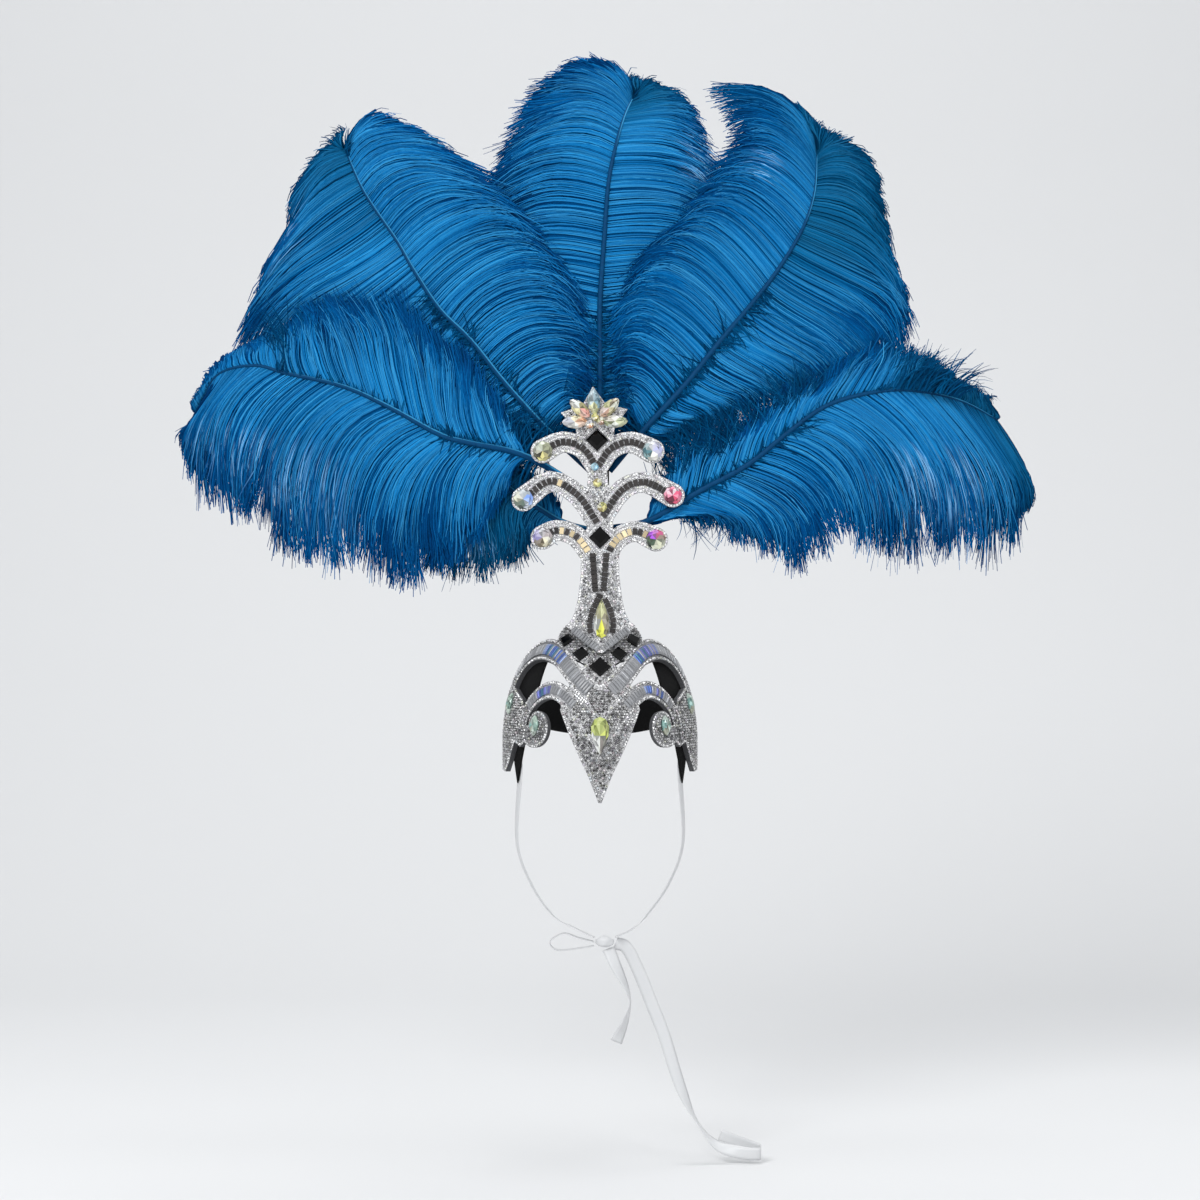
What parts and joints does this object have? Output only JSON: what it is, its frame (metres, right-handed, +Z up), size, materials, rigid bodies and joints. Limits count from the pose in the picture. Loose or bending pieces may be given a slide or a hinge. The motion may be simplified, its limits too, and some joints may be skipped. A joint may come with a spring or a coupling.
{
  "type": "showgirl feather headdress",
  "caption": "Showgirl headdress: pierced rhinestone brow piece and plaque with a fan of dyed ostrich plumes, an elastic head band and satin chin ties.",
  "frame": {"origin": "middle of the head at its widest line, where the brow piece and the head band sit", "axes": "+Z up, the wearer faces -Y, +X to the wearer's left"},
  "size_m": [0.7084, 0.2003, 0.9104],
  "materials": {
    "silver_base": "foam base covered in silver rhinestones, dark cut edge",
    "crystal": "faceted clear stones with an aurora coating",
    "tinted_crystal": "faceted green and yellow aurora stones",
    "black_stone": "faceted black stones",
    "mirror_tile": "small cut mirror tiles and baguettes",
    "feather": "dyed ostrich feather, soft sheen",
    "black_fabric": "woven black elastic",
    "satin": "white satin ribbon"
  },
  "bodies": {
    "root": {"headpiece": "silver_base", "stem_plaque": "silver_base", "star_crown": "silver_base", "arm_gem_1": "crystal", "arm_gem_2": "crystal", "arm_gem_3": "crystal", "arm_gem_4": "crystal", "arm_gem_5": "crystal", "arm_gem_6": "crystal", "star_gem_1": "crystal", "star_gem_2": "crystal", "star_gem_3": "crystal", "star_gem_4": "crystal", "star_gem_5": "crystal", "column_gem_1": "crystal", "column_gem_2": "crystal", "column_gem_3": "crystal", "stem_pear": "crystal", "brow_pear": "tinted_crystal", "volute_gem_left": "tinted_crystal", "volute_gem_right": "tinted_crystal", "side_gem_left": "tinted_crystal", "side_gem_right": "tinted_crystal", "brow_square_1": "black_stone", "brow_square_2": "black_stone", "brow_square_3": "black_stone", "brow_square_4": "black_stone", "brow_square_5": "black_stone", "stem_square_lower": "black_stone", "stem_square_upper": "black_stone", "plume_centre": "feather", "plume_upper_left": "feather", "plume_upper_right": "feather", "plume_lower_left": "feather", "plume_bottom_left": "feather", "plume_lower_right": "feather", "plume_holder": "black_fabric", "head_band": "black_fabric", "ribbon_tab_left": "black_fabric", "ribbon_tab_right": "black_fabric", "chin_ribbon_left": "satin", "chin_ribbon_right": "satin", "ribbon_knot": "satin", "ribbon_loop": "satin", "ribbon_tail_short": "satin", "ribbon_tail_long": "satin"}
  },
  "joints": []
}
